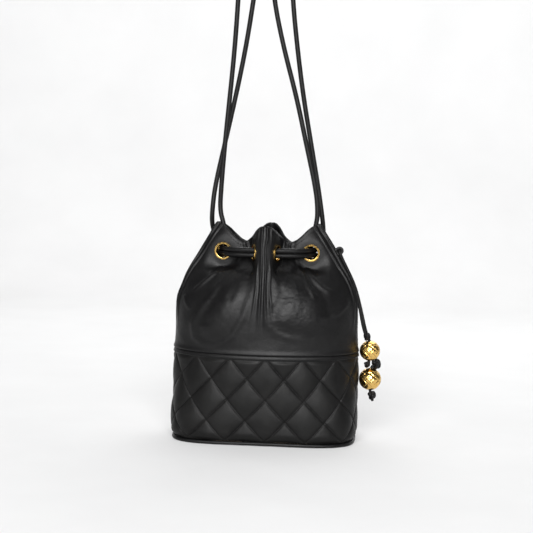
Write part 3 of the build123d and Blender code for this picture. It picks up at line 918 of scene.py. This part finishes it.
CHARM_FRONT = [
    (0.0769, 0, 0.205), (0.0769, -0.0046, 0.205), (0.0788, -0.004, 0.1985), (0.0855, -0.002, 0.186),
    (0.0938, -0.0018, 0.169), (0.0985, -0.0018, 0.152), (0.1015, -0.0018, 0.137), (0.1041, -0.0017, 0.124),
    (0.1076, -0.0012, 0.1135), (0.1123, -0.001, 0.11), (0.1123, -0.001, 0.0863), (0.1102, -0.001, 0.0832),
    (0.1076, -0.0016, 0.0804),
]
CHARM_BACK = [
    (0.0769, 0, 0.205), (0.0769, 0.0046, 0.205), (0.0788, 0.004, 0.1985), (0.0855, 0.002, 0.186),
    (0.094, 0.0018, 0.169), (0.0992, 0.0018, 0.152), (0.103, 0.0014, 0.137), (0.1062, 0.0012, 0.124),
    (0.1088, 0.0036, 0.1145), (0.1114, 0.0104, 0.1075), (0.1144, 0.0128, 0.099), (0.118, 0.011, 0.0905),
    (0.1199, 0.005, 0.086), (0.1188, -0.0008, 0.0826), (0.1133, -0.001, 0.0804), (0.1133, -0.001, 0.0544),
    (0.1154, -0.0012, 0.0506), (0.1166, -0.0014, 0.0435),
]


def cord_piece(name, points, diameter, node, **facts):
    """A leather cord round the NURBS spline of its route, in place of its CAD node; the facts are not used."""
    line = spline_path(points)
    piece = tube(name, line, diameter / MM / 2, CORD_LEATHER, groove=0.1)
    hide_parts(node)
    return piece


def lace(side, level, start, end, node):
    """The part of a drawstring that runs round the mouth through all the eyelets."""
    points = [start] + around_the_mouth(level, side) + end
    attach(cord_piece(node.replace("drawstring", "lace"), points, CORD_DIAMETER, node, **TAUT), "bag")


lace(1, 0.20005, LEFT_OUTER[0], LEFT_LACE_END + LEFT_INNER[-1:], "drawstring_left")
lace(-1, 0.20535, RIGHT_OUTER[0], RIGHT_LACE_END + RIGHT_INNER[-1:], "drawstring_right")

def frame_joint(name):
    """Where a joint of the frame is, in metres."""
    return next(joint["pos_m"] for joint in frame["joints"] if joint["name"] == name)


STRAP_LEAN = 0.011        # the photographed straps lean right by this much of their height


def strap(outer, arc, inner, body):
    """One strap: one cord through both low strands and the leaning arc, baked into place."""
    arc = [(x + STRAP_LEAN * (z - outer[-1][2]), y, z) for x, y, z in arc]
    piece = cord_piece(f"{body}_cord", outer + arc + inner, CORD_DIAMETER, body, **TAUT)
    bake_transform(piece)


strap(LEFT_OUTER, LEFT_ARC, LEFT_INNER, "strap_left")
strap(RIGHT_OUTER, RIGHT_ARC, RIGHT_INNER, "strap_right")


# ---------------- charm
KNOT_FULLNESS = 1.16      # lets the rope's loops fill the box of the round CAD knot


def knot_piece(name, node, radius, tilt_degrees):
    """An overhand knot of the charm cord, pulled tight inside its CAD solid's box."""
    low, high = (np.array(c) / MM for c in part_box(node))
    centre, half = (low + high) / 2, (high - low) / 2
    t = np.linspace(0, 2 * math.pi, 73)
    trefoil = (np.sin(t) + 2 * np.sin(2 * t), np.cos(t) - 2 * np.cos(2 * t), -np.sin(3 * t))
    loop = np.stack(trefoil, axis=1)
    loop /= np.abs(loop).max(axis=0)
    tilt = math.radians(tilt_degrees)
    turned = loop.copy()
    turned[:, 1] = loop[:, 1] * math.cos(tilt) - loop[:, 2] * math.sin(tilt)
    turned[:, 2] = loop[:, 1] * math.sin(tilt) + loop[:, 2] * math.cos(tilt)
    turned /= np.abs(turned).max(axis=0)
    reach = half * KNOT_FULLNESS - radius
    piece = tube(name, centre + turned * np.maximum(reach, 0.6), radius, CORD_LEATHER, groove=0.06, sides=16)
    return place(piece, "charm", "cord", node)


KNOTS = {
    knot: knot_piece(f"knot_{knot}", f"charm_knot_{knot}", radius, tilt)
    for knot, radius, tilt in (("top", 1.9, 20), ("inner", 1.8, 60), ("outer", 2.2, 35), ("end", 2.1, 50))
}
for end, route, tied in (("front", CHARM_FRONT, ("top", "inner")), ("back", CHARM_BACK, ("outer", "end"))):
    charm_cord = cord_piece(f"charm_cord_{end}_leather", route, CHARM_CORD_DIAMETER, f"charm_cord_{end}",
                            far_end="knot", stiffness="limp", lay="hanging",
                            with_pieces=[KNOTS[knot] for knot in tied])
    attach(charm_cord, "charm")


BEAD_BORE = 2.2           # radius
BEAD_ROWS, BORE_ROWS = 121, 9
LATTICE_CELLS = 9         # engraved diamonds round a bead
LATTICE_SLANT = 1.15
LATTICE_DEPTH = 0.65
RING_TILT = 0.74          # the two turned rings lie this far from the bead's middle, in radians
RING_DEPTH = 0.5


def bead(node):
    """A gold ball with a bored hole, an engraved diamond lattice and two turned rings."""
    low, high = (np.array(c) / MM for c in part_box(node))
    centre, radius = (low + high) / 2, (high[0] - low[0]) / 2
    columns = 144
    half_height = math.sqrt(radius**2 - BEAD_BORE**2)
    lip = math.atan2(half_height, BEAD_BORE)
    tilt = np.concatenate((np.linspace(-lip, lip, BEAD_ROWS), np.full(BORE_ROWS, lip)))
    turn = np.arange(columns) * 2 * math.pi / columns
    tilt_grid, turn_grid = np.meshgrid(tilt, turn, indexing="ij")
    round_bead = turn_grid * LATTICE_CELLS / (2 * math.pi)
    up_bead = tilt_grid * LATTICE_CELLS / (2 * math.pi) * LATTICE_SLANT
    p, q = round_bead + up_bead, round_bead - up_bead
    line = np.minimum(np.abs(np.sin(math.pi * p)), np.abs(np.sin(math.pi * q)))
    lattice = smooth(0.24, 0.06, line) * smooth(0.66, 0.6, np.abs(tilt_grid))
    rings = smooth(0.05, 0.02, np.abs(np.abs(tilt_grid) - RING_TILT))
    depth = LATTICE_DEPTH * lattice + RING_DEPTH * rings
    reach = radius - depth
    rho, level = reach * np.cos(tilt_grid), reach * np.sin(tilt_grid)
    inside = np.linspace(0, 1, BORE_ROWS)
    rho[BEAD_ROWS:] = BEAD_BORE - 0.05 * np.sin(inside * math.pi)[:, None]
    level[BEAD_ROWS:] = (half_height * (1 - 2 * inside))[:, None] * 0.985
    grid = centre + np.stack((rho * np.cos(turn_grid), rho * np.sin(turn_grid), level), axis=2)
    faces = ring_faces(len(tilt), columns, closed=True)
    place(mesh_object(f"{node}_engraved", grid.reshape(-1, 3), faces, GOLD), node, "gold", node)


bead("bead_upper")
bead("bead_lower")


TAB_HOLE_R = 1.35
TAB_SIDES = 36
TAB_POINTS_TO = 205       # degrees in side view: the tab runs in towards the bag


def build_tab():
    """The folded leather tab that holds the charm's cord, padded out round the cord."""
    centre = np.array(frame_joint("charm_swing")) / MM
    turn = np.arange(TAB_SIDES) * 2 * math.pi / TAB_SIDES
    stretch = 1 + 0.75 * np.maximum(0.0, np.cos(turn - math.radians(TAB_POINTS_TO))) ** 3
    outer, inner = [], []
    for depth, radius in ((-2.5, 3.9), (-2.2, 4.3), (0.0, 4.5), (2.2, 4.3), (2.5, 3.9)):
        for rows, reach in ((outer, radius * stretch), (inner, np.full(TAB_SIDES, TAB_HOLE_R))):
            ring = (np.cos(turn) * reach, np.full(TAB_SIDES, depth), np.sin(turn) * reach)
            rows.append(centre + np.stack(ring, axis=1))
    outer, inner = np.array(outer), np.array(inner)
    place(shell("charm_tab_leather", outer, inner, BODY_LEATHER, wrap=True), "bag", "leather", "charm_tab")


build_tab()

# ---------------- CAD parts that keep their shape
KEPT = {"base_board": BOARD, "lining_base": LINING_CLOTH}
for number in range(1, 9):
    KEPT[f"eyelet_{number}"] = GOLD
    KEPT[f"eyelet_washer_{number}"] = GOLD
for node, material in KEPT.items():
    mesh = frame["nodes"][node].data
    mesh.materials.clear()
    mesh.materials.append(material)

# ---------------- floor, lights and camera
TARGET = Vector((-0.0015, 0.0, 0.1857))
CAMERA_DISTANCE = 1.5
CAMERA_TURN = math.radians(5.0)
CAMERA_PITCH = math.radians(4.8)
CAMERA_ROLL = math.radians(1.25)
LENS = 93.8


def build_studio():
    """One pale sheet that is the floor and curves up behind the object."""
    turn = np.linspace(0, math.pi / 2, 13)
    bend = 0.6
    curve = [(1.2 + bend * math.sin(a), bend * (1 - math.cos(a))) for a in turn]
    profile = [(-2.2, 0.0)] + curve + [(1.8, 2.6)]
    vertices, faces = [], []
    for y, z in profile:
        vertices += [(-2600, y / MM, z / MM), (2600, y / MM, z / MM)]
    for i in range(len(profile) - 1):
        faces.append((2 * i, 2 * i + 1, 2 * i + 3, 2 * i + 2))
    material, tree, shader = new_material("studio_paper")
    tree.links.new(ramp(tree, add_noise(tree, 6.0, 3.0), 0.3, 0.7, (grey(0.5), grey(0.53))),
                   shader.inputs["Base Color"])
    shader.inputs["Roughness"].default_value = 0.9
    shader.inputs["Specular IOR Level"].default_value = 0.1
    shader.inputs["Emission Color"].default_value = (1.0, 1.0, 1.0, 1.0)
    shader.inputs["Emission Strength"].default_value = 0.27
    mesh_object("studio_paper", vertices, faces, material)


def area_light(name, place_at, look_at, width, height, power):
    """A soft rectangular lamp that faces a point, in metres and watts."""
    light = bpy.data.lights.new(name, "AREA")
    light.shape = "RECTANGLE"
    light.size, light.size_y = width, height
    light.energy = power
    holder = bpy.data.objects.new(name, light)
    holder.location = place_at
    holder.rotation_euler = (Vector(look_at) - Vector(place_at)).to_track_quat("-Z", "Y").to_euler()
    bpy.context.scene.collection.objects.link(holder)


build_studio()
MIDDLE = (0.0, 0.0, 0.14)
area_light("key", (0.05, -2.87, 1.3), MIDDLE, 2.1, 1.6, 158.0)
area_light("floor_wash", (0.0, 0.7, 1.9), (0.0, 0.1, 0.0), 2.4, 1.0, 9.0)
area_light("back_wash", (0.0, 0.6, 1.6), (0.0, 1.8, 0.5), 3.0, 0.6, 12.0)
area_light("back_fill", (0.15, 1.1, 1.0), MIDDLE, 1.2, 0.6, 6.0)
area_light("left_side", (-1.3, -0.5, 0.45), MIDDLE, 0.3, 0.9, 0.5)
area_light("right_side", (1.35, -0.3, 0.5), MIDDLE, 0.3, 0.9, 0.5)

world = bpy.data.worlds.new("studio")
world.use_nodes = True
lit_by = world.node_tree.nodes["Background"]
lit_by.inputs["Color"].default_value = (0.95, 0.96, 1.0, 1)
lit_by.inputs["Strength"].default_value = 0.1
# past the paper's edge the picture stays pale, and the dim sky above still does the lighting
seen = world.node_tree.nodes.new("ShaderNodeBackground")
seen.inputs["Color"].default_value = (0.9, 0.9, 0.9, 1)
choose = world.node_tree.nodes.new("ShaderNodeMixShader")
link = world.node_tree.links.new
link(world.node_tree.nodes.new("ShaderNodeLightPath").outputs["Is Camera Ray"], choose.inputs[0])
link(lit_by.outputs[0], choose.inputs[1])
link(seen.outputs[0], choose.inputs[2])
link(choose.outputs[0], world.node_tree.nodes["World Output"].inputs["Surface"])
bpy.context.scene.world = world
bpy.context.scene.view_settings.view_transform = "Standard"

camera_data = bpy.data.cameras.new("camera")
camera_data.lens = LENS
camera_data.sensor_width = 36.0
camera = bpy.data.objects.new("camera", camera_data)
away = Vector((
    math.sin(CAMERA_TURN) * math.cos(CAMERA_PITCH),
    -math.cos(CAMERA_TURN) * math.cos(CAMERA_PITCH),
    math.sin(CAMERA_PITCH),
))
camera.location = TARGET + away * CAMERA_DISTANCE
facing_camera = (-away).to_track_quat("-Z", "Y")
camera.rotation_euler = (facing_camera.to_matrix() @ Matrix.Rotation(CAMERA_ROLL, 3, "Z")).to_euler()
bpy.context.scene.collection.objects.link(camera)
bpy.context.scene.camera = camera
